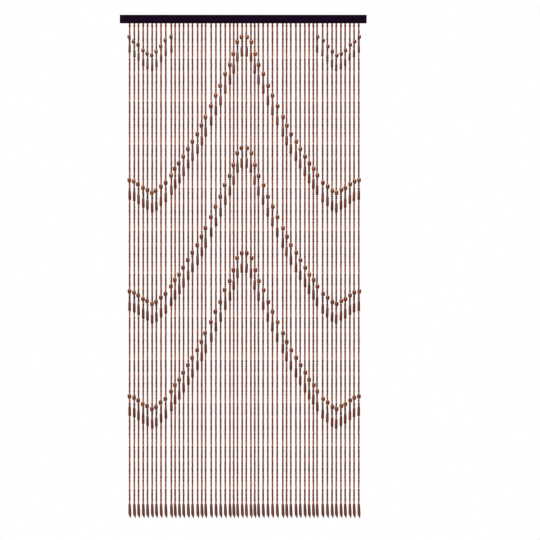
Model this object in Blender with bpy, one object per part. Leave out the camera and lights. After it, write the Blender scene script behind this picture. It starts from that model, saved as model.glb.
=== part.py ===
"""Bead string door curtain on a flat wooden headrail, in metres with +Z up.

The front looks to -Y. The origin is the middle of the headrail's back face, and the strings hang
down from the rail's underside. Each string is one four-sided strand with its large barrels, its long
bars and its end drop at real size. The strands of each half of the curtain are fused at their roots
to a narrow strip, which is let into a groove under the rail.
"""

from math import copysign
from typing import NamedTuple

import bmesh
import bpy
from mathutils import Matrix, Vector

# Headrail
RAIL_LENGTH = 0.900
RAIL_DEPTH = 0.016
RAIL_HEIGHT = 0.0295
RAIL_EDGE = 0.0012
RAIL_BOTTOM = -RAIL_HEIGHT / 2

# Groove under the rail, and the strip in it that the strands hang from
GROOVE_WIDTH = 0.0080
GROOVE_DEPTH = 0.0045
STRIP_GAP = 0.0003
STRIP_END = 0.0065
STRIP_SPLIT = 0.0006

# Plane of the strings, and how far their middle lies to the right of the rail's middle
STRING_Y = -RAIL_DEPTH / 2
STRINGS_MIDDLE = 0.0035

# Run of small beads, as one square core of their mean width, and where it leaves the rail
CORE = 0.0056
CORE_START = 0.0005

# Large beads: shoulder is how far a barrel's rounded end reaches along the string
BARREL_SHOULDER = 0.0028
BAR_RIM = 0.0008
BAR_FOOT = 0.0022

# How far the second and third repeat of the zigzag lie below the first
REPEATS = (0.0, 0.4058, 0.7895)

# Level of the end drops' tops below the rail's underside
DROP_TOP = 1.7560


class Section(NamedTuple):
    """One square section of a strand.

    depth is measured down from the top of the bead, or from the rail's underside on a whole strand.
    right shifts the section to the right, and outward shifts it to the curtain's nearer side edge.
    """

    depth: float
    width: float
    right: float = 0.0
    outward: float = 0.0


class Pair(NamedTuple):
    """A barrel and the bar below it, as sections, with the bar's top below the barrel's middle."""

    barrel: tuple[Section, ...]
    bar: tuple[Section, ...]
    bar_below: float


class String(NamedTuple):
    """One string of the half curtain.

    out is its distance from the curtain's middle. first is the depth of the middle of its first large
    barrel below the rail, and corner that of its small barrel in the corner garland, where it has one.
    """

    out: float
    first: float
    corner: float = 0.0


def barrel(width: float, length: float, outward: float) -> tuple[Section, ...]:
    """A barrel with rounded ends, threaded a little off its middle."""
    return (
        Section(0.0, CORE),
        Section(BARREL_SHOULDER, width, outward=outward),
        Section(length - BARREL_SHOULDER, width, outward=outward),
        Section(length, CORE),
    )


def bar(top: float, bottom: float, length: float, outward_top: float, outward_bottom: float) -> tuple[Section, ...]:
    """A long bar that widens from its flat top to its rounded foot, leaning a little."""
    return (
        Section(0.0, CORE),
        Section(BAR_RIM, top, outward=outward_top),
        Section(length - BAR_FOOT, bottom, outward=outward_bottom),
        Section(length, CORE),
    )


LARGE = Pair(barrel(0.0133, 0.0147, 0.0009), bar(0.0080, 0.0098, 0.0353, -0.0002, -0.0008), 0.0370)
MIDDLE = Pair(barrel(0.0133, 0.0147, 0.0027), bar(0.0080, 0.0098, 0.0353, 0.0016, 0.0008), 0.0370)
SMALL = Pair(barrel(0.0112, 0.0126, 0.0010), bar(0.0078, 0.0092, 0.0280, -0.0002, -0.0007), 0.0300)

# End drop: a slim pendant cut off at a slant, with its point to the right
DROP = (
    Section(0.0, CORE),
    Section(0.0010, 0.0084),
    Section(0.0375, 0.0106, right=0.0010),
    Section(0.0430, 0.0066, right=0.0021),
    Section(0.0502, 0.0020, right=0.0036),
)

STRINGS = (
    String(out=0.4182, first=0.5734, corner=0.0502),
    String(out=0.4011, first=0.5781, corner=0.0674),
    String(out=0.3857, first=0.5883, corner=0.0794),
    String(out=0.3686, first=0.6018, corner=0.0999),
    String(out=0.3531, first=0.6088, corner=0.1115),
    String(out=0.3360, first=0.6197, corner=0.1177),
    String(out=0.3207, first=0.6124, corner=0.1035),
    String(out=0.3036, first=0.5964, corner=0.0849),
    String(out=0.2864, first=0.5829, corner=0.0630),
    String(out=0.2660, first=0.5558, corner=0.0502),
    String(out=0.2523, first=0.5321),
    String(out=0.2368, first=0.5128),
    String(out=0.2214, first=0.4872),
    String(out=0.2043, first=0.4598),
    String(out=0.1888, first=0.4328),
    String(out=0.1701, first=0.4051),
    String(out=0.1547, first=0.3740),
    String(out=0.1409, first=0.3430),
    String(out=0.1204, first=0.3028),
    String(out=0.1033, first=0.2645),
    String(out=0.0862, first=0.2287),
    String(out=0.0691, first=0.1856),
    String(out=0.0520, first=0.1524),
    String(out=0.0384, first=0.1126),
    String(out=0.0245, first=0.0688),
    String(out=0.0075, first=0.0507),
)


def clear_scene() -> None:
    """Removes every object of the startup scene."""
    for obj in list(bpy.data.objects):
        bpy.data.objects.remove(obj)


def wood(name: str, colour: tuple[float, float, float], roughness: float) -> bpy.types.Material:
    """A varnished wood of one colour."""
    material = bpy.data.materials.new(name)
    material.use_nodes = True
    shader = material.node_tree.nodes["Principled BSDF"]
    shader.inputs["Base Color"].default_value = (*colour, 1.0)
    shader.inputs["Roughness"].default_value = roughness
    shader.inputs["Metallic"].default_value = 0.0
    return material


def add_object(name: str, bm: bmesh.types.BMesh, material: bpy.types.Material | None) -> bpy.types.Object:
    """Turns a bmesh into an object of the scene."""
    mesh = bpy.data.meshes.new(name)
    bm.to_mesh(mesh)
    bm.free()
    if material:
        mesh.materials.append(material)
    obj = bpy.data.objects.new(name, mesh)
    bpy.context.scene.collection.objects.link(obj)
    return obj


def block(size: Vector, centre: Vector) -> bmesh.types.BMesh:
    """A box of this size about this centre."""
    bm = bmesh.new()
    bmesh.ops.create_cube(bm, size=1.0, matrix=Matrix.Translation(centre) @ Matrix.Diagonal(size).to_4x4())
    return bm


def strip_end() -> float:
    """How far the strips reach from the strings' middle."""
    return STRINGS[0].out + STRIP_END


def build_headrail() -> None:
    """The flat rail with softened edges and the groove in its underside."""
    bm = block(
        Vector((RAIL_LENGTH, RAIL_DEPTH, RAIL_HEIGHT)),
        Vector((0.0, -RAIL_DEPTH / 2, 0.0)),
    )
    bmesh.ops.bevel(
        bm, geom=bm.edges[:], offset=RAIL_EDGE, segments=2, profile=0.5, affect="EDGES", material=-1
    )
    rail = add_object("headrail", bm, wood("dark stained wood", (0.012, 0.005, 0.012), 0.35))

    groove = block(
        Vector((2 * (strip_end() + STRIP_GAP), GROOVE_WIDTH, 2 * GROOVE_DEPTH)),
        Vector((STRINGS_MIDDLE, STRING_Y, RAIL_BOTTOM)),
    )
    cutter = add_object("groove cutter", groove, None)
    cutter.hide_render = True
    cutter.display_type = "WIRE"
    cut = rail.modifiers.new("groove", "BOOLEAN")
    cut.operation = "DIFFERENCE"
    cut.solver = "EXACT"
    cut.object = cutter


def strand_sections(string: String) -> list[Section]:
    """All sections of one strand from the top down, with their depths below the rail's underside."""
    pair = MIDDLE if string is STRINGS[-1] else LARGE
    pairs = [(string.first + repeat, pair) for repeat in REPEATS]
    if string.corner:
        pairs.insert(0, (string.corner, SMALL))

    beads = []
    for level, (round_bead, long_bead, bar_below) in pairs:
        beads.append((level - round_bead[-1].depth / 2, round_bead))
        beads.append((level + bar_below, long_bead))
    beads.append((DROP_TOP, DROP))

    sections = [Section(CORE_START, CORE)]
    for top, bead in beads:
        sections.extend(section._replace(depth=top + section.depth) for section in bead)
    return sections


def hang_strand(bm: bmesh.types.BMesh, root: bmesh.types.BMFace, string: String, side: int) -> None:
    """Extrudes a strand down from its root face, section by section."""
    face = root
    for section in strand_sections(string):
        x = STRINGS_MIDDLE + section.right + side * (string.out + section.outward)
        face = bmesh.ops.extrude_discrete_faces(bm, faces=[face])["faces"][0]
        middle = face.calc_center_median()
        for vert in face.verts:
            corner = vert.co - middle
            vert.co = Vector(
                (
                    x + copysign(section.width / 2, corner.x),
                    STRING_Y + copysign(section.width / 2, corner.y),
                    RAIL_BOTTOM - section.depth,
                )
            )


def build_bead_strings(name: str, side: int, material: bpy.types.Material) -> None:
    """The strip of one half of the curtain with its strands. side is -1 on the left, 1 on the right."""
    inner, outer = STRIP_SPLIT / 2, strip_end()
    height = GROOVE_DEPTH - STRIP_GAP
    bm = block(
        Vector((outer - inner, GROOVE_WIDTH - 2 * STRIP_GAP, height)),
        Vector((STRINGS_MIDDLE + side * (outer + inner) / 2, STRING_Y, RAIL_BOTTOM + height / 2)),
    )

    places = [STRINGS_MIDDLE + side * string.out for string in STRINGS]
    for x in places:
        for edge in (x - CORE / 2, x + CORE / 2):
            geometry = bm.verts[:] + bm.edges[:] + bm.faces[:]
            bmesh.ops.bisect_plane(
                bm, geom=geometry, plane_co=(edge, 0.0, 0.0), plane_no=(1.0, 0.0, 0.0)
            )

    undersides = [face for face in bm.faces if face.normal.z < -0.9]
    roots = [min(undersides, key=lambda face: abs(face.calc_center_median().x - x)) for x in places]
    for root, string in zip(roots, STRINGS):
        hang_strand(bm, root, string, side)
    bm.normal_update()
    add_object(name, bm, material)


def main() -> None:
    """Builds the rail, then the strings of each half."""
    clear_scene()
    build_headrail()
    beads = wood("varnished brown wood", (0.16, 0.05, 0.018), 0.3)
    build_bead_strings("bead_strings_left", -1, beads)
    build_bead_strings("bead_strings_right", 1, beads.copy())


main()
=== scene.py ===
"""Bead string door curtain on a dark wooden headrail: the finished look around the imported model.

The front looks to -Y, and the strings hang down from the rail's underside. Lengths are in metres.
Each string is one piece: a thread that carries small turned beads, a large barrel and a long bar
for each band of the zigzag, and an end drop.
"""

import logging
import math
import random
from collections.abc import Iterator, Sequence
from dataclasses import dataclass
from enum import Enum
from typing import Any

import bmesh
import bpy
from mathutils import Matrix, Vector


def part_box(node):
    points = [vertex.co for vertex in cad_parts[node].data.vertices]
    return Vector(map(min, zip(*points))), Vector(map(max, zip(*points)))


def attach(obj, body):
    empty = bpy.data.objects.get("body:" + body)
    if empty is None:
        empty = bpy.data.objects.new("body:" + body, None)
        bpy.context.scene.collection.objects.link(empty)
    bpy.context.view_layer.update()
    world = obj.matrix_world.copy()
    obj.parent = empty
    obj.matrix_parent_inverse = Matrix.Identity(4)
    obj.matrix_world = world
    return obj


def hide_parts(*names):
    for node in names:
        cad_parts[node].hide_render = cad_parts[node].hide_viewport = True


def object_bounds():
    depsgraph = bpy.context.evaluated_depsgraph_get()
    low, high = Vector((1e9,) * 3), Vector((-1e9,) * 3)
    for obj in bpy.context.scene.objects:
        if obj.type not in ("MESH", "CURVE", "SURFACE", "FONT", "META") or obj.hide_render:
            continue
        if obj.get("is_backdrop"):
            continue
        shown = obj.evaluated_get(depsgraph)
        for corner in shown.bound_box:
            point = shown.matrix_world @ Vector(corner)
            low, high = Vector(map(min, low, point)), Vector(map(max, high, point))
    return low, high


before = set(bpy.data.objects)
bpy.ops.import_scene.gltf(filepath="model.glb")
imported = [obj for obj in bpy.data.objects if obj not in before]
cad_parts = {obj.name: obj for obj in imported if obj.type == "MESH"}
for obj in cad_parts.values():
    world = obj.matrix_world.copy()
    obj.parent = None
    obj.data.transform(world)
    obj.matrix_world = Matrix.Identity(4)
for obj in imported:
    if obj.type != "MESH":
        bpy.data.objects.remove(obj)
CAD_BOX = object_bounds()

log = logging.getLogger("curtain")

Colour = tuple[float, float, float]
Stops = tuple[tuple[float, Colour], ...]
Socket = bpy.types.NodeSocket

BODY = "root"

# Names of what each bead's points carry for its finish, and of the map that lays a piece out flat
TONE = "tone"
GRAIN = "grain"
# END_STAIN_AND_SHADE: how near an end each point lies; the finishes darken there with stain and with
# painted shade in the hollows and where beads meet
END_STAIN_AND_SHADE = "rim"
ALONG = "along"
FLAT_MAP = "OFBake"

# Plane of the strings, and how far their middle lies to the right of the rail's middle
STRING_Y = -0.008
STRINGS_MIDDLE = 0.0035

# Small beads: one threading run of 23 beads fills 157.2 mm, and every string repeats it from the rail
RUN_LENGTH = 0.1572
BEAD_WIDTH = 0.0064

# How far the second and third band of the zigzag lie below the first, and the level of the drops
BANDS = (0.0, 0.4058, 0.7895)
DROP_TOP = 1.7560


class Side(Enum):
    """A half of the curtain, and the way it lies from the middle."""

    LEFT = -1
    RIGHT = 1


@dataclass(frozen=True)
class Batch:
    """A batch of small beads.

    Attributes:
        tone: How it took its stain, from 0 for dark to 1 for nearly bare.
        width: How wide it was turned, as a share of the usual width.
    """

    tone: float
    width: float


class Stain(Enum):
    """The batches of small beads, by their stain."""

    DARK = Batch(0.25, 1.14)
    BROWN = Batch(0.40, 1.06)
    ORANGE = Batch(0.52, 1.02)
    AMBER = Batch(0.63, 0.94)
    PALE = Batch(0.78, 0.84)


class Wear(Enum):
    """The material slots of a string, in their order."""

    SMALL_BEAD = 0
    BARREL = 1
    BAR = 2
    DROP = 3
    THREAD = 4


@dataclass(frozen=True)
class Ring:
    """One round of a turned form.

    Attributes:
        up: Height on the form's own axis.
        radius: Radius of the round.
        rim: How near it is to an end, from 0 to 1, where stain gathers and painted shade darkens the hollow
            ends and the joins between beads.
        aside: How far it is shifted to the right.
    """

    up: float
    radius: float
    # rim sets the stain and painted shade at the ends
    rim: float = 0.0
    aside: float = 0.0


@dataclass(frozen=True)
class Turned:
    """A closed round form, drawn up ring by ring along its own axis.

    Attributes:
        rings: The rounds in their order, from inside the lower end to inside the upper one.
        sides: Number of sides of each round.
    """

    rings: tuple[Ring, ...]
    sides: int

    def along(self) -> list[float]:
        """Walks up the outline.

        Returns:
            Share of the outline's length at which each ring lies.
        """
        steps = [
            math.hypot(above.up - below.up, above.radius - below.radius)
            for below, above in zip(self.rings, self.rings[1:])
        ]
        return [sum(steps[:index]) / sum(steps) for index in range(len(self.rings))]

    def mesh(self, name: str) -> bpy.types.Mesh:
        """Turns the form.

        Args:
            name: Name of the mesh.

        Returns:
            The closed mesh, with its rims marked and laid out flat on its map.
        """
        low, second, *others = self.rings
        bm = bmesh.new()
        # rim carries each ring's share of the ends' stain and painted shade
        rim = bm.verts.layers.float.new(END_STAIN_AND_SHADE)
        along = bm.verts.layers.float.new(ALONG)
        shares = self.along()
        bmesh.ops.create_cone(
            bm,
            cap_ends=True,
            segments=self.sides,
            radius1=low.radius,
            radius2=second.radius,
            depth=second.up - low.up,
            matrix=Matrix.Translation((0.0, 0.0, (low.up + second.up) / 2)),
        )
        bm.normal_update()
        face = max(bm.faces, key=lambda item: item.normal.z)
        for vert in bm.verts:
            ring, share = (second, shares[1]) if vert in face.verts else (low, shares[0])
            vert[rim], vert[along] = ring.rim, share
            vert.co.x += ring.aside

        last = second
        for ring, share in zip(others, shares[2:]):
            face = bmesh.ops.extrude_discrete_faces(bm, faces=[face])["faces"][0]
            grown = ring.radius / last.radius
            about = Matrix.Translation((-last.aside, 0.0, 0.0))
            bmesh.ops.scale(bm, vec=(grown, grown, 1.0), space=about, verts=face.verts)
            lift = Vector((ring.aside - last.aside, 0.0, ring.up - last.up))
            bmesh.ops.translate(bm, vec=lift, verts=face.verts)
            for vert in face.verts:
                vert[rim], vert[along] = ring.rim, share
            last = ring

        for face in bm.faces:
            face.smooth = len(face.verts) == 4
        self.lay_flat(bm)
        mesh = bpy.data.meshes.new(name)
        bm.to_mesh(mesh)
        bm.free()
        return mesh

    def lay_flat(self, bm: bmesh.types.BMesh) -> None:
        """Lays the form out in a unit square: its side as a band, and its two ends beside it.

        Args:
            bm: The turned form.
        """
        band, end_middle, end_half = 0.80, 0.90, 0.08
        low_end, high_end, end_rise = 0.25, 0.75, 0.20
        step = math.tau / self.sides
        along = bm.verts.layers.float[ALONG]
        flat = bm.loops.layers.uv.new(FLAT_MAP)
        for face in bm.faces:
            centre = face.calc_center_median()
            if len(face.verts) == 4:
                ring_middle = sum((vert.co for vert in face.verts), Vector()) / 4
                turn = math.atan2(ring_middle.y, ring_middle.x - self.middle_at(ring_middle.z))
                column = round(turn / step - 0.5)
                for loop in face.loops:
                    here = loop.vert.co
                    angle = math.atan2(here.y, here.x - self.middle_at(here.z))
                    right = math.remainder(angle - (column + 0.5) * step, math.tau) > 0
                    share = (column % self.sides + right) / self.sides
                    loop[flat].uv = (band * share, loop.vert[along])
            else:
                top = centre.z > (self.rings[0].up + self.rings[-1].up) / 2
                widest = max((vert.co - centre).length for vert in face.verts)
                for loop in face.loops:
                    off = (loop.vert.co - centre) / widest
                    up = high_end if top else low_end
                    loop[flat].uv = (end_middle + end_half * off.x, up + end_rise * off.y)

    def middle_at(self, up: float) -> float:
        """Finds the form's middle.

        Args:
            up: A height on its axis.

        Returns:
            How far its middle is shifted to the right there.
        """
        if all(ring.aside == 0.0 for ring in self.rings):
            return 0.0
        for below, above in zip(self.rings, self.rings[1:]):
            if up <= above.up:
                share = (up - below.up) / (above.up - below.up)
                return below.aside + share * (above.aside - below.aside)
        return self.rings[-1].aside


@dataclass(frozen=True)
class SmallForm:
    """The outline of a small bead, in shares of its length and of its half width.

    Attributes:
        ends: Radii of its lower and upper end.
        shoulders: Radii of its lower and upper shoulder.
        reaches: How far its lower and upper shoulder lie from its middle.
        belly: Radius of its middle.
        sides: Number of its sides.
    """

    ends: tuple[float, float]
    shoulders: tuple[float, float]
    reaches: tuple[float, float]
    belly: float
    sides: int = 7

    def form(self) -> Turned:
        """Draws the outline.

        Returns:
            The bead's form, one high and one in radius.
        """
        # A ring's third number is its rim: stain and painted shade at the bead's ends
        return Turned(
            (
                Ring(-0.5, self.ends[0], 1.0),
                Ring(-self.reaches[0], self.shoulders[0], 0.1),
                Ring(0.0, self.belly),
                Ring(self.reaches[1], self.shoulders[1], 0.1),
                Ring(0.5, self.ends[1], 1.0),
            ),
            self.sides,
        )


class SmallBead(Enum):
    """The forms that small beads are turned to."""

    OVAL = SmallForm(ends=(0.48, 0.48), shoulders=(0.90, 0.90), reaches=(0.29, 0.29), belly=1.0)
    STRAIGHT = SmallForm(ends=(0.60, 0.60), shoulders=(0.90, 0.90), reaches=(0.36, 0.36), belly=0.96)
    FLARED = SmallForm(ends=(0.54, 0.46), shoulders=(0.99, 0.82), reaches=(0.30, 0.29), belly=0.97)
    TAPERED = SmallForm(ends=(0.46, 0.54), shoulders=(0.82, 0.99), reaches=(0.29, 0.30), belly=0.97)


OVAL, STRAIGHT, FLARED, TAPERED = SmallBead
DARK, BROWN, ORANGE, AMBER, PALE = Stain

# The threading run, from its top bead down
RUN = (
    (OVAL, BROWN),
    (FLARED, DARK),
    (OVAL, AMBER),
    (STRAIGHT, AMBER),
    (OVAL, ORANGE),
    (TAPERED, BROWN),
    (OVAL, BROWN),
    (FLARED, ORANGE),
    (OVAL, DARK),
    (OVAL, BROWN),
    (STRAIGHT, ORANGE),
    (TAPERED, AMBER),
    (OVAL, DARK),
    (STRAIGHT, AMBER),
    (OVAL, BROWN),
    (FLARED, AMBER),
    (OVAL, AMBER),
    (TAPERED, AMBER),
    (STRAIGHT, PALE),
    (OVAL, DARK),
    (FLARED, ORANGE),
    (OVAL, BROWN),
    (TAPERED, BROWN),
)

# The two beads right under the rail, which take the place of the first run's own
TOP_BEADS = ((STRAIGHT, ORANGE), (TAPERED, DARK))


class Recipe:
    """A material in the making, with short calls that add and join its nodes.

    Attributes:
        noise_roughness: Strength of a noise's finer octaves.
        relief_strength: Strength of a raised pattern.
    """

    noise_roughness: float = 0.55
    relief_strength: float = 0.6

    def __init__(self, name: str) -> None:
        """Starts from a plain Principled material.

        Args:
            name: Its name.
        """
        self.material = bpy.data.materials.new(name)
        self.material.use_nodes = True
        self.tree = self.material.node_tree
        self.shader = self.tree.nodes["Principled BSDF"]

    def add(self, kind: str, **settings: Any) -> bpy.types.Node:
        """Adds a node.

        Args:
            kind: Blender's name of the node's type.
            **settings: The node's own settings.

        Returns:
            The new node.
        """
        node = self.tree.nodes.new(kind)
        for key, value in settings.items():
            setattr(node, key, value)
        return node

    def join(self, source: Socket, target: Socket) -> None:
        """Links an output to an input."""
        self.tree.links.new(source, target)

    def dress(self, colour: Socket, pattern: Socket, roughness: tuple[float, float]) -> None:
        """Gives the shader its colour, and a roughness that goes from least to greatest by the pattern."""
        self.join(colour, self.shader.inputs["Base Color"])
        self.join(self.spread(pattern, *roughness), self.shader.inputs["Roughness"])

    def fixed(self, **values: Any) -> None:
        """Sets the shader's own inputs, named with an underscore for each space."""
        for key, value in values.items():
            self.shader.inputs[key.replace("_", " ")].default_value = value

    def carried(self, name: str) -> Socket:
        """A number that the piece's points carry."""
        return self.add("ShaderNodeAttribute", attribute_name=name).outputs["Fac"]

    def places(self, shift: Socket | None = None) -> Socket:
        """Reads Object coordinates.

        Args:
            shift: A number that moves the pattern, so that each bead has its own.

        Returns:
            The socket with the coordinates.
        """
        own = self.add("ShaderNodeTexCoord").outputs["Object"]
        if shift is None:
            return own
        moved = self.add("ShaderNodeVectorMath", operation="ADD")
        self.join(own, moved.inputs[0])
        self.join(shift, moved.inputs[1])
        return moved.outputs["Vector"]

    def noise(self, places: Socket, pitch: Sequence[float], detail: float) -> Socket:
        """Adds a noise with its own pitch in each direction.

        Args:
            places: The coordinates it reads.
            pitch: Size of its patches in metres along x, y and z.
            detail: Number of finer octaves.

        Returns:
            The socket with the noise, from 0 to 1.
        """
        mapping = self.add("ShaderNodeMapping")
        mapping.inputs["Scale"].default_value = tuple(1 / step for step in pitch)
        self.join(places, mapping.inputs["Vector"])
        noise = self.add("ShaderNodeTexNoise")
        noise.inputs["Scale"].default_value = 1.0
        noise.inputs["Detail"].default_value = detail
        noise.inputs["Roughness"].default_value = self.noise_roughness
        self.join(mapping.outputs["Vector"], noise.inputs["Vector"])
        return noise.outputs["Fac"]

    def swing(self, base: Socket, noise: Socket, reach: float) -> Socket:
        """Moves a number up and down by a noise.

        Args:
            base: The number.
            noise: The noise, from 0 to 1.
            reach: How far apart the noise's 0 and 1 move the number.

        Returns:
            The socket with the moved number.
        """
        scaled = self.add("ShaderNodeMath", operation="MULTIPLY_ADD")
        self.join(noise, scaled.inputs[0])
        scaled.inputs[1].default_value = reach
        scaled.inputs[2].default_value = -reach / 2
        total = self.add("ShaderNodeMath", operation="ADD")
        self.join(base, total.inputs[0])
        self.join(scaled.outputs[0], total.inputs[1])
        return total.outputs[0]

    def shades(self, share: Socket, stops: Stops) -> Socket:
        """Picks a colour from the stops.

        Args:
            share: Where it lies among them, from 0 to 1.
            stops: The colours, each with its place.

        Returns:
            The socket with the colour.
        """
        ramp = self.add("ShaderNodeValToRGB")
        elements = ramp.color_ramp.elements
        while len(elements) < len(stops):
            elements.new(1.0)
        for element, (at, colour) in zip(elements, stops):
            element.position = at
            element.color = (*colour, 1.0)
        self.join(share, ramp.inputs["Fac"])
        return ramp.outputs["Color"]

    def spread(self, share: Socket, low: float, high: float) -> Socket:
        """Picks a number from low to high.

        Args:
            share: Where it lies between them, from 0 to 1.
            low: The number at 0.
            high: The number at 1.

        Returns:
            The socket with the number.
        """
        spread = self.add("ShaderNodeMapRange")
        spread.inputs["To Min"].default_value = low
        spread.inputs["To Max"].default_value = high
        self.join(share, spread.inputs["Value"])
        return spread.outputs["Result"]

    def over(self, share: Socket, under: Socket, colour: Colour) -> Socket:
        """Covers one colour with another.

        Args:
            share: How fully it is covered, from 0 to 1.
            under: The colour below.
            colour: The colour on top.

        Returns:
            The socket with the mixed colour.
        """
        factor, below, above, mixed = 0, 6, 7, 2
        mix = self.add("ShaderNodeMix", data_type="RGBA")
        self.join(share, mix.inputs[factor])
        self.join(under, mix.inputs[below])
        mix.inputs[above].default_value = (*colour, 1.0)
        return mix.outputs[mixed]

    def relief(self, height: Socket, depth: float) -> None:
        """Raises the surface by a pattern.

        Args:
            height: The pattern.
            depth: Its depth in metres.
        """
        bump = self.add("ShaderNodeBump")
        bump.inputs["Strength"].default_value = self.relief_strength
        bump.inputs["Distance"].default_value = depth
        self.join(height, bump.inputs["Height"])
        self.join(bump.outputs["Normal"], self.shader.inputs["Normal"])


@dataclass(frozen=True)
class BeadWood:
    """Stained and varnished bead wood, whose colour goes by the tone of each bead.

    Attributes:
        name: Name of the material.
        stops: Colours from the darkest stain to bare wood.
        streaks: Pitch of the grain along x, y and z.
        streak_reach: How far the grain swings the tone.
        patches: Pitch of the broader patches.
        patch_reach: How far the patches swing the tone.
        end_stain_and_shade_colour: Colour at the ends: stain that gathers there, with painted shade in the
            hollows and where beads meet.
        end_stain_and_shade_share: How fully that stain and painted shade cover the ends.
        end_stain_and_shade_least: The same where it is thinnest, as a share of end_stain_and_shade_share.
        roughness: Least and greatest roughness under the varnish.
        sheen: Level of the bare wood's mirror reflection.
        varnish: Weight and roughness of the varnish coat.
        varnish_index: The varnish's index of refraction.
        relief: Depth of the grain.
        detail: Finer octaves of the grain and of the patches.
        apart: How far apart in the pattern two beads may be cut.
    """

    name: str
    stops: Stops
    streaks: tuple[float, float, float]
    streak_reach: float
    patches: tuple[float, float, float]
    patch_reach: float
    # Colour and reach of the ends' stain and painted shade
    end_stain_and_shade_colour: Colour = (0.030, 0.014, 0.012)
    end_stain_and_shade_share: float = 0.70
    end_stain_and_shade_least: float = 0.6
    roughness: tuple[float, float] = (0.40, 0.56)
    sheen: float = 0.28
    varnish: tuple[float, float] = (0.25, 0.34)
    varnish_index: float = 1.55
    relief: float = 0.00007
    detail: tuple[float, float] = (3.0, 2.0)
    apart: float = 9.0

    def material(self) -> bpy.types.Material:
        """Mixes the finish.

        Returns:
            The new material.
        """
        recipe = Recipe(self.name)
        places = recipe.places(recipe.spread(recipe.carried(GRAIN), 0.0, self.apart))
        streak_detail, patch_detail = self.detail
        streak = recipe.noise(places, self.streaks, streak_detail)
        patch = recipe.noise(places, self.patches, patch_detail)
        tone = recipe.swing(recipe.carried(TONE), streak, self.streak_reach)
        tone = recipe.swing(tone, patch, self.patch_reach)
        wood = recipe.shades(tone, self.stops)
        # The ends turn towards end_stain_and_shade_colour: stain, with painted shade in the hollows and
        # where beads meet
        rim = recipe.add("ShaderNodeMath", operation="MULTIPLY")
        recipe.join(recipe.carried(END_STAIN_AND_SHADE), rim.inputs[0])
        recipe.join(recipe.spread(patch, self.end_stain_and_shade_share * self.end_stain_and_shade_least, self.end_stain_and_shade_share), rim.inputs[1])
        recipe.dress(recipe.over(rim.outputs[0], wood, self.end_stain_and_shade_colour), streak, self.roughness)
        weight, coat_roughness = self.varnish
        recipe.fixed(Coat_Weight=weight, Coat_Roughness=coat_roughness, Coat_IOR=self.varnish_index)
        recipe.fixed(Specular_IOR_Level=self.sheen)
        recipe.relief(streak, self.relief)
        return recipe.material


@dataclass(frozen=True)
class RailWood:
    """The headrail's wood under a nearly black stain, with its grain along the rail.

    Attributes:
        name: Name of the material.
        stops: Colours from the closed to the open grain.
        roughness: Least and greatest roughness.
        sheen: Level of the mirror reflection.
        grain: Pitch of the grain along x, y and z.
        clouds: Pitch of the broader clouds.
        cloud_reach: How far the clouds swing the grain.
        detail: Finer octaves of the grain and of the clouds.
        relief: Depth of the grain.
    """

    name: str
    stops: Stops
    roughness: tuple[float, float] = (0.42, 0.58)
    sheen: float = 0.03
    grain: tuple[float, float, float] = (0.055, 0.0016, 0.0016)
    clouds: tuple[float, float, float] = (0.12, 0.012, 0.012)
    cloud_reach: float = 0.35
    detail: tuple[float, float] = (4.0, 2.0)
    relief: float = 0.00008

    def material(self) -> bpy.types.Material:
        """Mixes the finish.

        Returns:
            The new material.
        """
        recipe = Recipe(self.name)
        places = recipe.places()
        grain_detail, cloud_detail = self.detail
        grain = recipe.noise(places, self.grain, grain_detail)
        cloud = recipe.noise(places, self.clouds, cloud_detail)
        tone = recipe.swing(grain, cloud, self.cloud_reach)
        recipe.dress(recipe.shades(tone, self.stops), grain, self.roughness)
        recipe.fixed(Specular_IOR_Level=self.sheen)
        recipe.relief(grain, self.relief)
        return recipe.material


@dataclass(frozen=True)
class WaxedThread:
    """Brown waxed thread of two plies, twisted to the right.

    Attributes:
        name: Name of the material.
        stops: Colours from the groove between the plies, darkened with painted shade, to their crowns.
        lay: Slant of the plies in degrees.
        scale: Scale of their bands, which sets the crowns about a millimetre apart.
        waver: How unevenly they lie.
        roughness: Roughness of the groove and of the crowns.
        relief: Depth of the groove.
    """

    name: str = "waxed brown thread"
    # The groove's dark colour is painted shade between the plies
    stops: Stops = ((0.25, (0.020, 0.010, 0.007)), (0.75, (0.095, 0.050, 0.030)))
    lay: float = 35.0
    scale: float = 312.5
    waver: float = 0.4
    roughness: tuple[float, float] = (0.62, 0.45)
    relief: float = 0.0001

    def material(self) -> bpy.types.Material:
        """Mixes the finish.

        Returns:
            The new material.
        """
        recipe = Recipe(self.name)
        turned = recipe.add("ShaderNodeMapping")
        turned.inputs["Rotation"].default_value = (0.0, math.radians(self.lay), 0.0)
        recipe.join(recipe.places(), turned.inputs["Vector"])
        bands = recipe.add("ShaderNodeTexWave", wave_type="BANDS", bands_direction="Z")
        bands.inputs["Scale"].default_value = self.scale
        bands.inputs["Distortion"].default_value = self.waver
        recipe.join(turned.outputs["Vector"], bands.inputs["Vector"])
        plies = bands.outputs["Fac"]
        # The bands set the painted shade in the groove and the roughness
        recipe.dress(recipe.shades(plies, self.stops), plies, self.roughness)
        recipe.relief(plies, self.relief)
        return recipe.material


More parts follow.
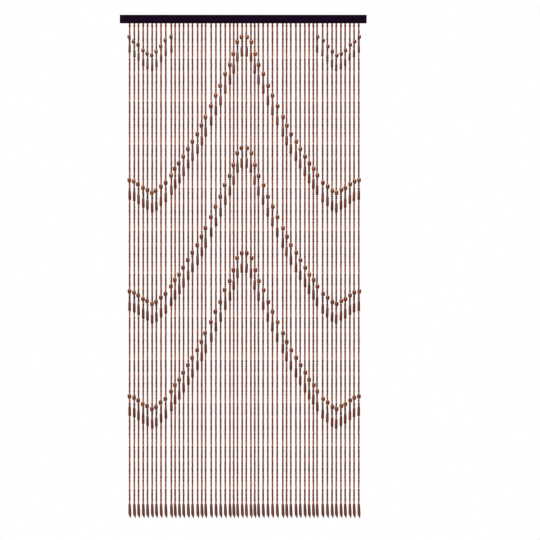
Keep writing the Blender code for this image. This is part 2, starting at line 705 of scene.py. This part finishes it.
@dataclass(frozen=True)
class FloorPaper:
    """The pale paper of the studio floor, faintly clouded.

    Attributes:
        name: Name of the material.
        stops: Its two near whites.
        clouds: Pitch of its clouds along x, y and z.
        detail: Finer octaves of the clouds.
        roughness: Its roughness.
    """

    name: str = "pale studio paper"
    stops: Stops = ((0.3, (0.78, 0.78, 0.77)), (0.7, (0.83, 0.83, 0.82)))
    clouds: tuple[float, float, float] = (0.4, 0.4, 0.4)
    detail: float = 3.0
    roughness: float = 0.85

    def material(self) -> bpy.types.Material:
        """Mixes the finish.

        Returns:
            The new material.
        """
        recipe = Recipe(self.name)
        cloud = recipe.noise(recipe.places(), self.clouds, self.detail)
        recipe.join(recipe.shades(cloud, self.stops), recipe.shader.inputs["Base Color"])
        recipe.fixed(Roughness=self.roughness)
        return recipe.material


SMALL_BEAD_WOOD = BeadWood(
    name="varnished small bead wood",
    stops=(
        (0.00, (0.066, 0.016, 0.006)),
        (0.30, (0.126, 0.028, 0.008)),
        (0.52, (0.206, 0.048, 0.010)),
        (0.72, (0.290, 0.079, 0.015)),
        (1.00, (0.395, 0.170, 0.052)),
    ),
    streaks=(0.0007, 0.0007, 0.0060),
    streak_reach=0.22,
    patches=(0.0035, 0.0035, 0.0035),
    patch_reach=0.20,
    # Ends of small beads: stain, with painted shade where they meet
    end_stain_and_shade_colour=(0.030, 0.010, 0.008),
    roughness=(0.30, 0.46),
    sheen=0.19,
    varnish=(0.25, 0.12),
    relief=0.00005,
)

BARREL_WOOD = BeadWood(
    name="varnished barrel wood",
    stops=(
        (0.00, (0.044, 0.013, 0.010)),
        (0.30, (0.097, 0.028, 0.014)),
        (0.55, (0.170, 0.051, 0.018)),
        (0.80, (0.258, 0.094, 0.028)),
        (1.00, (0.335, 0.165, 0.065)),
    ),
    streaks=(0.0016, 0.0016, 0.0050),
    streak_reach=0.30,
    patches=(0.0040, 0.0040, 0.0045),
    patch_reach=0.50,
    # Barrels' hollow ends: stain and painted shade
    end_stain_and_shade_share=0.80,
    roughness=(0.24, 0.38),
    sheen=0.40,
    varnish=(1.0, 0.10),
    relief=0.00005,
)

BAR_WOOD = BeadWood(
    name="varnished bar wood",
    stops=(
        (0.00, (0.035, 0.013, 0.012)),
        (0.30, (0.087, 0.027, 0.016)),
        (0.55, (0.160, 0.044, 0.020)),
        (0.80, (0.262, 0.078, 0.025)),
        (1.00, (0.345, 0.142, 0.052)),
    ),
    streaks=(0.0015, 0.0015, 0.0220),
    streak_reach=0.70,
    patches=(0.0050, 0.0050, 0.0160),
    patch_reach=0.36,
)

DROP_WOOD = BeadWood(
    name="varnished drop wood",
    stops=(
        (0.00, (0.032, 0.018, 0.018)),
        (0.30, (0.086, 0.039, 0.030)),
        (0.55, (0.162, 0.062, 0.041)),
        (0.80, (0.262, 0.102, 0.054)),
        (1.00, (0.330, 0.165, 0.095)),
    ),
    streaks=(0.0015, 0.0015, 0.0260),
    streak_reach=0.60,
    patches=(0.0050, 0.0050, 0.0180),
    patch_reach=0.28,
    # Ends of the drop: stain and painted shade
    end_stain_and_shade_colour=(0.022, 0.010, 0.009),
    varnish=(0.22, 0.34),
)

RAIL_WOOD = RailWood(
    name="dark stained rail wood",
    stops=(
        (0.25, (0.0082, 0.0008, 0.0105)),
        (0.55, (0.0121, 0.0014, 0.0153)),
        (0.80, (0.0188, 0.0034, 0.0207)),
    ),
)

RAIL_EDGE_WOOD = RailWood(
    name="rubbed rail edge",
    stops=(
        (0.25, (0.0080, 0.0030, 0.0070)),
        (0.55, (0.0140, 0.0055, 0.0100)),
        (0.80, (0.0300, 0.0120, 0.0120)),
    ),
    roughness=(0.30, 0.42),
)


@dataclass(frozen=True)
class Cell:
    """A place on the flat map of a piece.

    Attributes:
        left: Left edge.
        foot: Lower edge.
        width: Width.
        height: Height.
        margin: Share of the cell that is kept free at each edge.
    """

    left: float
    foot: float
    width: float
    height: float
    margin: float = 0.04

    def place(self, spot: Vector) -> tuple[float, float]:
        """Finds a spot's place on the map.

        Args:
            spot: The spot on the unit square.

        Returns:
            The place inside the cell's margins.
        """
        across, up = (self.margin + (1 - 2 * self.margin) * share for share in spot)
        return (self.left + self.width * across, self.foot + self.height * up)


@dataclass
class FlatSheet:
    """The flat map of a string: small beads fill its lower part, and large pieces stand above.

    Attributes:
        columns: Small beads side by side.
        rows: Rows of small beads.
        share: Height of the part that small beads fill.
        large: Number of large pieces side by side.
    """

    columns: int = 12
    rows: int = 21
    share: float = 0.77
    large: int = 10

    def small_cells(self) -> Iterator[Cell]:
        """Goes through the cells for small beads, row by row.

        Yields:
            The next cell.
        """
        width, height = 1 / self.columns, self.share / self.rows
        for row in range(self.rows):
            for column in range(self.columns):
                yield Cell(column * width, row * height, width, height)

    def large_cells(self) -> Iterator[Cell]:
        """Goes through the cells for the thread, the barrels, the bars and the drop.

        Yields:
            The next cell.
        """
        width = 1 / self.large
        for column in range(self.large):
            yield Cell(column * width, self.share, width, 1 - self.share)


class Threading:
    """A string in the making, which takes turned pieces one by one."""

    def __init__(self) -> None:
        """Starts with nothing threaded."""
        self.bm = bmesh.new()
        carried = self.bm.verts.layers.float
        self.tone, self.grain = carried.new(TONE), carried.new(GRAIN)
        for name in (END_STAIN_AND_SHADE, ALONG):
            carried.new(name)
        self.flat = self.bm.loops.layers.uv.new(FLAT_MAP)
        sheet = FlatSheet()
        self.small_cells, self.large_cells = sheet.small_cells(), sheet.large_cells()

    def add(self, form: bpy.types.Mesh, placing: Matrix, wear: Wear, tone: float, grain: float) -> None:
        """Threads one more piece, and gives it the next cell of the flat map.

        Args:
            form: The turned form.
            placing: Where it goes and how large it is.
            wear: Its material slot.
            tone: How it took its stain, from 0 for dark to 1 for pale.
            grain: A number of its own, from 0 to 1, that moves its grain.
        """
        cell = next(self.small_cells if wear is Wear.SMALL_BEAD else self.large_cells)
        first_vert, first_face = len(self.bm.verts), len(self.bm.faces)
        self.bm.from_mesh(form)
        self.bm.verts.ensure_lookup_table()
        self.bm.faces.ensure_lookup_table()
        verts = self.bm.verts[first_vert:]
        bmesh.ops.transform(self.bm, matrix=placing, verts=verts)
        for vert in verts:
            vert[self.tone], vert[self.grain] = tone, grain
        for face in self.bm.faces[first_face:]:
            face.material_index = wear.value
            for loop in face.loops:
                loop[self.flat].uv = cell.place(loop[self.flat].uv)

    def piece(self, name: str, materials: Sequence[bpy.types.Material]) -> bpy.types.Object:
        """Ends the string.

        Args:
            name: The piece's name.
            materials: Its materials, in the order of the slots.

        Returns:
            The finished object, at the origin.
        """
        self.bm.verts.layers.float.remove(self.bm.verts.layers.float[ALONG])
        self.bm.normal_update()
        return finished(name, self.bm, materials)


def finished(name: str, bm: bmesh.types.BMesh, materials: Sequence[bpy.types.Material]) -> bpy.types.Object:
    """Makes a bmesh an object of the scene.

    Args:
        name: The object's name.
        bm: Its shape, which is freed.
        materials: Its materials, in the order of the slots.

    Returns:
        The new object.
    """
    mesh = bpy.data.meshes.new(name)
    bm.to_mesh(mesh)
    bm.free()
    for material in materials:
        mesh.materials.append(material)
    obj = bpy.data.objects.new(name, mesh)
    bpy.context.scene.collection.objects.link(obj)
    return obj


@dataclass(frozen=True)
class Barrel:
    """A large round bead with hollowed ends and rounded shoulders.

    Attributes:
        width: Its greatest width.
        length: Its length.
        outward: How far it sits towards the curtain's nearer side edge.
        sides: Number of its sides.
    """

    width: float
    length: float
    outward: float
    sides: int = 18

    def form(self) -> Turned:
        """Draws the outline, a little fuller above than below.

        Returns:
            The barrel's form.
        """
        radius, half = self.width / 2, self.length / 2
        # Rims in the hollow ends: stain and painted shade
        return Turned(
            (
                Ring(-half * 0.90, radius * 0.38, 1.0),
                Ring(-half * 1.00, radius * 0.46, 0.7),
                Ring(-half * 0.95, radius * 0.64, 0.3),
                Ring(-half * 0.80, radius * 0.82, 0.1),
                Ring(-half * 0.55, radius * 0.94),
                Ring(-half * 0.20, radius * 0.99),
                Ring(half * 0.20, radius),
                Ring(half * 0.55, radius * 0.980),
                Ring(half * 0.80, radius * 0.91, 0.05),
                Ring(half * 0.95, radius * 0.76, 0.3),
                Ring(half * 1.00, radius * 0.52, 0.7),
                Ring(half * 0.90, radius * 0.38, 1.0),
            ),
            self.sides,
        )


@dataclass(frozen=True)
class Bar:
    """A long bead that widens from its hollow top to its rounded foot.

    Attributes:
        top_width: Width under its rim.
        foot_width: Greatest width, above its rounded foot.
        length: Its length.
        below: How far its top lies below the middle of its barrel.
        outward: How far its top sits towards the curtain's nearer side edge.
        lean: How much further its foot sits that way.
        sides: Number of its sides.
    """

    top_width: float
    foot_width: float
    length: float
    below: float
    outward: float
    lean: float
    sides: int = 16

    def form(self) -> Turned:
        """Draws the outline, from the foot up to the hollow top.

        Returns:
            The bar's form.
        """
        top, foot, length = self.top_width / 2, self.foot_width / 2, self.length
        # Rims at the hollow top and the foot: stain and painted shade
        return Turned(
            (
                Ring(-length, foot * 0.42, 1.0),
                Ring(-length * 0.985, foot * 0.68, 0.5),
                Ring(-length * 0.950, foot * 0.90, 0.2),
                Ring(-length * 0.890, foot, 0.05),
                Ring(-length * 0.600, foot * 0.955),
                Ring(-length * 0.250, top * 1.07),
                Ring(-length * 0.025, top, 0.1),
                Ring(0.0, top * 0.90, 0.25),
                Ring(-length * 0.004, top * 0.70, 0.6),
                Ring(-length * 0.030, top * 0.62, 1.0),
            ),
            self.sides,
        )


@dataclass(frozen=True)
class Drop:
    """The pendant at the foot of a string, drawn to a blunt point at its right.

    Attributes:
        length: Its length.
        top_width: Width of its top.
        width: Its greatest width.
        tip_width: Width of its point.
        tip_aside: How far the point lies to the right.
        sides: Number of its sides.
    """

    length: float = 0.0502
    top_width: float = 0.0084
    width: float = 0.0106
    tip_width: float = 0.0026
    tip_aside: float = 0.0036
    sides: int = 16

    def form(self) -> Turned:
        """Draws the outline, from the point up to the hollow top.

        Returns:
            The drop's form.
        """
        length, half = self.length, self.width / 2
        swell, top = half - self.top_width / 2, self.top_width / 2
        # Rims at the point and in the hollow top: stain and painted shade
        return Turned(
            (
                Ring(-length, self.tip_width / 2 * 0.6, 0.5, self.tip_aside),
                Ring(-length * 0.985, self.tip_width / 2, 0.4, self.tip_aside * 0.97),
                Ring(-length * 0.920, half * 0.42, 0.15, self.tip_aside * 0.80),
                Ring(-length * 0.856, half * 0.66, 0.0, self.tip_aside * 0.58),
                Ring(-length * 0.800, half * 0.87, 0.0, self.tip_aside * 0.40),
                Ring(-length * 0.735, half * 0.99, 0.0, self.tip_aside * 0.27),
                Ring(-length * 0.600, half * 0.99, 0.0, self.tip_aside * 0.20),
                Ring(-length * 0.300, top + swell * 0.5, 0.0, self.tip_aside * 0.08),
                Ring(-length * 0.025, top, 0.1),
                Ring(0.0, top * 0.86, 0.4),
                Ring(-length * 0.012, top * 0.66, 1.0),
            ),
            self.sides,
        )


@dataclass(frozen=True)
class Band:
    """A barrel and the bar below it.

    Attributes:
        barrel: The barrel.
        bar: The bar.
        darker: How much darker than usual both are.
    """

    barrel: Barrel
    bar: Bar
    darker: float = 0.0


# The pair that makes the bands of the zigzag
LARGE = Band(
    Barrel(width=0.0136, length=0.0158, outward=0.0012),
    Bar(top_width=0.0084, foot_width=0.0097, length=0.0353, below=0.0370, outward=0.0003, lean=-0.0004),
)

# The same on the string nearest the middle, where the beads sit further outward
MIDDLE = Band(
    Barrel(width=0.0136, length=0.0158, outward=0.0028),
    Bar(top_width=0.0084, foot_width=0.0097, length=0.0353, below=0.0370, outward=0.0018, lean=-0.0010),
)

# The smaller pair of the garlands in the top corners
CORNER = Band(
    Barrel(width=0.0121, length=0.0142, outward=0.0017),
    Bar(top_width=0.0074, foot_width=0.0084, length=0.0280, below=0.0300, outward=0.0, lean=-0.0002),
    darker=0.10,
)


@dataclass(frozen=True)
class Hanging:
    """Where a string hangs and where its large beads sit.

    Attributes:
        out: Distance from the curtain's middle.
        first: Depth of the middle of its first large barrel below the rail.
        corner: The same for its small barrel in the corner garland, or 0 where it has none.
    """

    out: float
    first: float
    corner: float = 0.0


# The strings of one half, from the side edge to the middle
HANGINGS = (
    Hanging(out=0.4182, first=0.5734, corner=0.0502),
    Hanging(out=0.4011, first=0.5781, corner=0.0674),
    Hanging(out=0.3857, first=0.5883, corner=0.0794),
    Hanging(out=0.3686, first=0.6018, corner=0.0999),
    Hanging(out=0.3531, first=0.6088, corner=0.1115),
    Hanging(out=0.3360, first=0.6197, corner=0.1177),
    Hanging(out=0.3207, first=0.6124, corner=0.1035),
    Hanging(out=0.3036, first=0.5964, corner=0.0849),
    Hanging(out=0.2864, first=0.5829, corner=0.0630),
    Hanging(out=0.2660, first=0.5558, corner=0.0502),
    Hanging(out=0.2523, first=0.5321),
    Hanging(out=0.2368, first=0.5128),
    Hanging(out=0.2214, first=0.4872),
    Hanging(out=0.2043, first=0.4598),
    Hanging(out=0.1888, first=0.4328),
    Hanging(out=0.1701, first=0.4051),
    Hanging(out=0.1547, first=0.3740),
    Hanging(out=0.1409, first=0.3430),
    Hanging(out=0.1204, first=0.3028),
    Hanging(out=0.1033, first=0.2645),
    Hanging(out=0.0862, first=0.2287),
    Hanging(out=0.0691, first=0.1856),
    Hanging(out=0.0520, first=0.1524),
    Hanging(out=0.0384, first=0.1126),
    Hanging(out=0.0245, first=0.0688),
    Hanging(out=0.0075, first=0.0507),
)


class Workshop:
    """The turned forms and the finishes that all strings share."""

    def __init__(self) -> None:
        """Turns each form once and mixes each finish once."""
        bands = (LARGE, MIDDLE, CORNER)
        self.small = {bead: bead.value.form().mesh(f"small bead {bead.name}") for bead in SmallBead}
        self.barrels = {band: band.barrel.form().mesh("barrel") for band in bands}
        self.bars = {band: band.bar.form().mesh("bar") for band in bands}
        self.drop = Drop().form().mesh("drop")
        self.thread = Turned((Ring(-1.0, 1.0), Ring(0.0, 1.0)), sides=6).mesh("thread")
        self.materials = [
            finish.material()
            for finish in (SMALL_BEAD_WOOD, BARREL_WOOD, BAR_WOOD, DROP_WOOD, WaxedThread())
        ]

    def clear(self) -> None:
        """Removes the single forms, which no string needs any more."""
        beads = (*self.small.values(), *self.barrels.values(), *self.bars.values())
        for mesh in (*beads, self.drop, self.thread):
            bpy.data.meshes.remove(mesh)


@dataclass(frozen=True)
class BeadString:
    """One string of the curtain.

    Attributes:
        side: The half it hangs in.
        number: Its number in that half, from the side edge.
        hanging: Where it and its large beads hang.
        rail_bottom: Height of the rail's underside.
        thread_width: Width of its thread.
        knot_room: How far the thread reaches up into the rail.
        play: How far a small bead sits off the thread's line, and how far it tilts, in radians.
        sway: How far a barrel or a bar's foot sits off its usual place.
        size_play: How much a small bead's width varies.
        tone_play: How much a small bead's tone varies.
        barrel_tones: The tones that barrels have by turns.
        bar_tones: Darkest and palest tone of a bar.
        drop_tones: Darkest and palest tone of a drop.
        start: Gap between the rail and the first bead.
        top_sizes: How wide the two top beads are, as shares of their usual widths.
        hidden: Share of a small bead inside a large one past which it is left out.
        sunk_tone: How much darker the small beads between a barrel and its bar are.
        sunk_size: How much wider they are.
    """

    side: Side
    number: int
    hanging: Hanging
    rail_bottom: float
    thread_width: float = 0.0011
    knot_room: float = 0.0040
    play: tuple[float, float] = (0.00022, 0.035)
    sway: float = 0.0005
    size_play: float = 0.05
    tone_play: float = 0.04
    barrel_tones: tuple[float, ...] = (0.55, 0.60, 0.66, 0.50)
    bar_tones: tuple[float, float] = (0.39, 0.53)
    drop_tones: tuple[float, float] = (0.42, 0.50)
    start: float = 0.0003
    top_sizes: tuple[float, float] = (0.92, 1.12)
    hidden: float = 0.88
    sunk_tone: float = 0.20
    sunk_size: float = 1.13

    @property
    def name(self) -> str:
        """The piece's name."""
        return f"string_{self.side.name.lower()}_{self.number:02d}"

    @property
    def x(self) -> float:
        """Where the string hangs along the rail."""
        return STRINGS_MIDDLE + self.side.value * self.hanging.out

    def bands(self) -> list[tuple[float, Band]]:
        """Lists its barrels from the top down.

        Returns:
            The depth of each barrel's middle below the rail, with its band.
        """
        large = MIDDLE if self.hanging is HANGINGS[-1] else LARGE
        bands = [(self.hanging.first + lower, large) for lower in BANDS]
        return [(self.hanging.corner, CORNER)] + bands if self.hanging.corner else bands

    def at(self, depth: float, outward: float = 0.0) -> Matrix:
        """The place on the string at this depth, shifted outward."""
        x = self.x + self.side.value * outward
        return Matrix.Translation((x, STRING_Y, self.rail_bottom - depth))

    def build(self, workshop: Workshop) -> bpy.types.Object:
        """Threads the string.

        Args:
            workshop: The shared forms and finishes.

        Returns:
            The finished piece.
        """
        chance = random.Random(f"{self.side.name} {self.number}")
        threading = Threading()
        self.add_large(threading, workshop, chance)
        self.add_small(threading, workshop, chance)
        piece = threading.piece(self.name, workshop.materials)
        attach(piece, BODY)
        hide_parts(f"bead_strings_{self.side.name.lower()}")
        return piece

    def add_large(self, threading: Threading, workshop: Workshop, chance: random.Random) -> None:
        """Adds the thread, the barrels, the bars and the drop.

        Args:
            threading: The string in the making.
            workshop: The shared forms and finishes.
            chance: The string's own chance.
        """
        half, length = self.thread_width / 2, DROP_TOP + 2 * self.knot_room
        thread = self.at(-self.knot_room) @ Matrix.Diagonal((half, half, length, 1.0))
        threading.add(workshop.thread, thread, Wear.THREAD, tone=0.5, grain=0.0)
        for depth, band in self.bands():
            aside, foot_aside = (chance.gauss(0.0, self.sway) for _ in range(2))
            turn = Matrix.Rotation(chance.uniform(0.0, math.tau), 4, "Z")
            barrel = self.at(depth, band.barrel.outward + aside) @ turn
            tone = chance.choice(self.barrel_tones) - band.darker
            threading.add(workshop.barrels[band], barrel, Wear.BARREL, tone, chance.random())
            foot_out = band.bar.lean + foot_aside
            lean = Matrix.Rotation(-self.side.value * foot_out / band.bar.length, 4, "Y")
            turn = Matrix.Rotation(chance.uniform(0.0, math.tau), 4, "Z")
            bar = self.at(depth + band.bar.below, band.bar.outward) @ lean @ turn
            tone = chance.uniform(*self.bar_tones) - band.darker
            threading.add(workshop.bars[band], bar, Wear.BAR, tone, chance.random())
        tone = chance.uniform(*self.drop_tones)
        threading.add(workshop.drop, self.at(DROP_TOP), Wear.DROP, tone, chance.random())

    def add_small(self, threading: Threading, workshop: Workshop, chance: random.Random) -> None:
        """Adds the small beads, which repeat the threading run from the rail to the drop.

        Args:
            threading: The string in the making.
            workshop: The shared forms and finishes.
            chance: The string's own chance.
        """
        covers, sunk = [(DROP_TOP, math.inf)], []
        for depth, band in self.bands():
            half, top = band.barrel.length / 2, depth + band.bar.below
            covers += [(depth - half, depth + half), (top, top + band.bar.length)]
            sunk.append((depth + half, top))

        pitch = RUN_LENGTH / len(RUN)
        offset, tilt = self.play
        for count in range(math.ceil(DROP_TOP / pitch)):
            top = self.start + count * pitch
            inside = sum(max(0.0, min(top + pitch, foot) - max(top, head)) for head, foot in covers)
            bead, stain = TOP_BEADS[count] if count < len(TOP_BEADS) else RUN[count % len(RUN)]
            size = stain.value.width * chance.gauss(1.0, self.size_play / 2)
            tone = stain.value.tone + chance.gauss(0.0, self.tone_play)
            turns = [chance.gauss(0.0, tilt / 2) for _ in range(2)] + [chance.uniform(0.0, math.tau)]
            aside = [chance.gauss(0.0, offset / 2) for _ in range(2)]
            grain = chance.random()
            if inside > self.hidden * pitch:
                continue
            if count < len(TOP_BEADS):
                size *= self.top_sizes[count]
            middle = top + pitch / 2
            if any(head < middle < foot for head, foot in sunk):
                size, tone = size * self.sunk_size, tone - self.sunk_tone
            width = BEAD_WIDTH / 2 * size
            placing = self.at(middle) @ Matrix.Translation((*aside, 0.0))
            for angle, axis in zip(turns, "XYZ"):
                placing = placing @ Matrix.Rotation(angle, 4, axis)
            placing = placing @ Matrix.Diagonal((width, width, pitch, 1.0))
            threading.add(workshop.small[bead], placing, Wear.SMALL_BEAD, tone, grain)


@dataclass(frozen=True)
class Headrail:
    """The flat batten that carries the strings, with a drilled hole for each thread.

    Attributes:
        edge: Width of its softened edges.
        hole: Width of a hole.
        hole_depth: Depth of a hole.
        hole_sides: Number of sides of a hole.
        flat_from: Least share of a face's normal along one axis, for a face that isn't of an edge.
    """

    edge: float = 0.0012
    hole: float = 0.0022
    hole_depth: float = 0.0060
    hole_sides: int = 10
    flat_from: float = 0.999

    def build(self) -> bpy.types.Object:
        """Planes, drills and stains the rail.

        Returns:
            The finished piece.
        """
        low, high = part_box("headrail")
        bm = bmesh.new()
        size = Matrix.Diagonal((*(high - low), 1.0))
        bmesh.ops.create_cube(bm, size=1.0, matrix=Matrix.Translation((low + high) / 2) @ size)
        bmesh.ops.bevel(
            bm, geom=bm.edges[:], offset=self.edge, segments=3, profile=0.5, affect="EDGES", material=-1
        )
        for face in bm.faces:
            flat = max(abs(share) for share in face.normal) > self.flat_from
            face.material_index = 0 if flat else 1
            face.smooth = not flat
        rail = finished("rail", bm, [RAIL_WOOD.material(), RAIL_EDGE_WOOD.material()])
        self.drill(rail, low.z)
        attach(rail, BODY)
        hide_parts("headrail")
        return rail

    def drill(self, rail: bpy.types.Object, underside: float) -> None:
        """Drills a hole for each string.

        Args:
            rail: The planed rail.
            underside: Height of its underside.
        """
        bm = bmesh.new()
        for side in Side:
            for hanging in HANGINGS:
                x = STRINGS_MIDDLE + side.value * hanging.out
                bmesh.ops.create_cone(
                    bm,
                    cap_ends=True,
                    segments=self.hole_sides,
                    radius1=self.hole / 2,
                    radius2=self.hole / 2,
                    depth=2 * self.hole_depth,
                    matrix=Matrix.Translation((x, STRING_Y, underside)),
                )
        drills = finished("drills", bm, [])
        cut = rail.modifiers.new("holes", "BOOLEAN")
        cut.object = drills
        cut.operation = "DIFFERENCE"
        cut.solver = "EXACT"
        bpy.context.view_layer.update()
        shaped = rail.evaluated_get(bpy.context.evaluated_depsgraph_get())
        mesh = bpy.data.meshes.new_from_object(shaped)
        rail.modifiers.remove(cut)
        planed, rail.data = rail.data, mesh
        bpy.data.meshes.remove(planed)
        bpy.data.objects.remove(drills)


@dataclass(frozen=True)
class SoftLight:
    """A broad soft light that faces the curtain.

    Attributes:
        name: Its name.
        place: Where it hangs, from the curtain's middle.
        size: Its width and height.
        power: Its power in watts.
    """

    name: str
    place: tuple[float, float, float]
    size: tuple[float, float]
    power: float

    def hang(self, middle: Vector) -> None:
        """Hangs the light.

        Args:
            middle: The curtain's middle.
        """
        light = bpy.data.lights.new(self.name, "AREA")
        light.shape = "RECTANGLE"
        light.size, light.size_y = self.size
        light.energy = self.power
        lamp = bpy.data.objects.new(self.name, light)
        lamp.location = middle + Vector(self.place)
        lamp.rotation_euler = (-Vector(self.place)).to_track_quat("-Z", "Y").to_euler()
        lamp.visible_camera = False
        bpy.context.scene.collection.objects.link(lamp)


@dataclass(frozen=True)
class Studio:
    """A plain pale floor under the curtain, a white surround and soft light.

    Attributes:
        floor_below: How far the floor lies below the rail's middle.
        floor_radius: Radius of the floor.
        floor_sides: Number of its sides.
        surround: Light that the surround sends to the curtain.
        lights: The soft lights.
        gamma: Gamma of the picture. Below 1, thin strings stay as dark against white as in the photo.
    """

    floor_below: float = 2.035
    floor_radius: float = 1.5
    floor_sides: int = 96
    surround: Colour = (0.15, 0.15, 0.155)
    lights: tuple[SoftLight, ...] = (
        SoftLight("main light", place=(-0.9, -4.9, 3.3), size=(3.6, 2.8), power=750.0),
        SoftLight("light behind", place=(1.2, 2.7, 4.3), size=(2.6, 2.6), power=300.0),
    )
    gamma: float = 0.70

    def build(self) -> None:
        """Sets up the floor, the surround, the lights and the picture's tone."""
        self.lay_floor()
        self.paint_surround()
        low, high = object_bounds()
        for light in self.lights:
            light.hang((Vector(low) + Vector(high)) / 2)
        settings = bpy.context.scene.view_settings
        settings.view_transform = "Standard"
        settings.gamma = self.gamma

    def lay_floor(self) -> None:
        """Lays the round floor."""
        bm = bmesh.new()
        place = Matrix.Translation((0.0, 0.0, -self.floor_below))
        bmesh.ops.create_circle(
            bm, cap_ends=True, segments=self.floor_sides, radius=self.floor_radius, matrix=place
        )
        floor = finished("floor", bm, [FloorPaper().material()])
        floor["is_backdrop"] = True

    def paint_surround(self) -> None:
        """Makes the surround pure white to the eye, and dimmer as a light."""
        world = bpy.data.worlds.new("surround")
        world.use_nodes = True
        bpy.context.scene.world = world
        nodes, links = world.node_tree.nodes, world.node_tree.links
        nodes.clear()
        seen = nodes.new("ShaderNodeBackground")
        seen.inputs["Color"].default_value = (1.0, 1.0, 1.0, 1.0)
        sent = nodes.new("ShaderNodeBackground")
        sent.inputs["Color"].default_value = (*self.surround, 1.0)
        path = nodes.new("ShaderNodeLightPath")
        mix = nodes.new("ShaderNodeMixShader")
        out = nodes.new("ShaderNodeOutputWorld")
        links.new(path.outputs["Is Camera Ray"], mix.inputs["Fac"])
        links.new(sent.outputs["Background"], mix.inputs[1])
        links.new(seen.outputs["Background"], mix.inputs[2])
        links.new(mix.outputs["Shader"], out.inputs["Surface"])


@dataclass(frozen=True)
class PhotoView:
    """The photograph's view: face on, from far off. The image is square.

    Attributes:
        pixels: Width and height of the image.
        rail_left: Pixel column of the rail's left end.
        rail_right: Pixel column of its right end.
        rail_top: Pixel row of its top edge.
        distance: Distance of the camera from the strings.
        sensor: Width of the sensor in millimetres.
        reach: How far the camera sees.
    """

    pixels: float = 540.0
    rail_left: float = 119.99
    rail_right: float = 366.51
    rail_top: float = 15.06
    distance: float = 12.0
    sensor: float = 36.0
    reach: float = 100.0

    def build(self) -> None:
        """Sets the camera from the rail's place in the photograph."""
        low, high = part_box("headrail")
        scale = (high.x - low.x) / (self.rail_right - self.rail_left)
        middle = self.pixels / 2
        x = low.x + (middle - self.rail_left) * scale
        z = high.z - (middle - self.rail_top) * scale
        camera = bpy.data.cameras.new("camera")
        camera.sensor_width = self.sensor
        camera.lens = self.sensor * self.distance / (self.pixels * scale)
        camera.clip_end = self.reach
        eye = bpy.data.objects.new("camera", camera)
        eye.location = (x, STRING_Y - self.distance, z)
        eye.rotation_euler = (math.pi / 2, 0.0, 0.0)
        bpy.context.scene.collection.objects.link(eye)
        bpy.context.scene.camera = eye


def triangles(piece: bpy.types.Object) -> int:
    """Number of triangles of a piece."""
    return sum(len(face.vertices) - 2 for face in piece.data.polygons)


def write_sizes() -> None:
    """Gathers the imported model's box and the finished model's box as plain lists of numbers."""
    boxes = {"cad": CAD_BOX, "visual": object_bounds()}
    plain = {name: [[float(share) for share in corner] for corner in box] for name, box in boxes.items()}


def main() -> None:
    """Builds the rail, the strings, the studio and the view."""
    logging.basicConfig(level=logging.INFO, format="%(message)s")
    PhotoView().build()
    rail = Headrail().build()
    log.info("%s: %d triangles", rail.name, triangles(rail))

    workshop = Workshop()
    rail_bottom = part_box("headrail")[0].z
    total = triangles(rail)
    for side in Side:
        for number, hanging in enumerate(HANGINGS, start=1):
            piece = BeadString(side, number, hanging, rail_bottom).build(workshop)
            total += triangles(piece)
            log.info("%s: %d triangles", piece.name, triangles(piece))
    workshop.clear()
    log.info("all pieces: %d triangles", total)
    Studio().build()
    write_sizes()


if __name__ == "__main__":
    main()
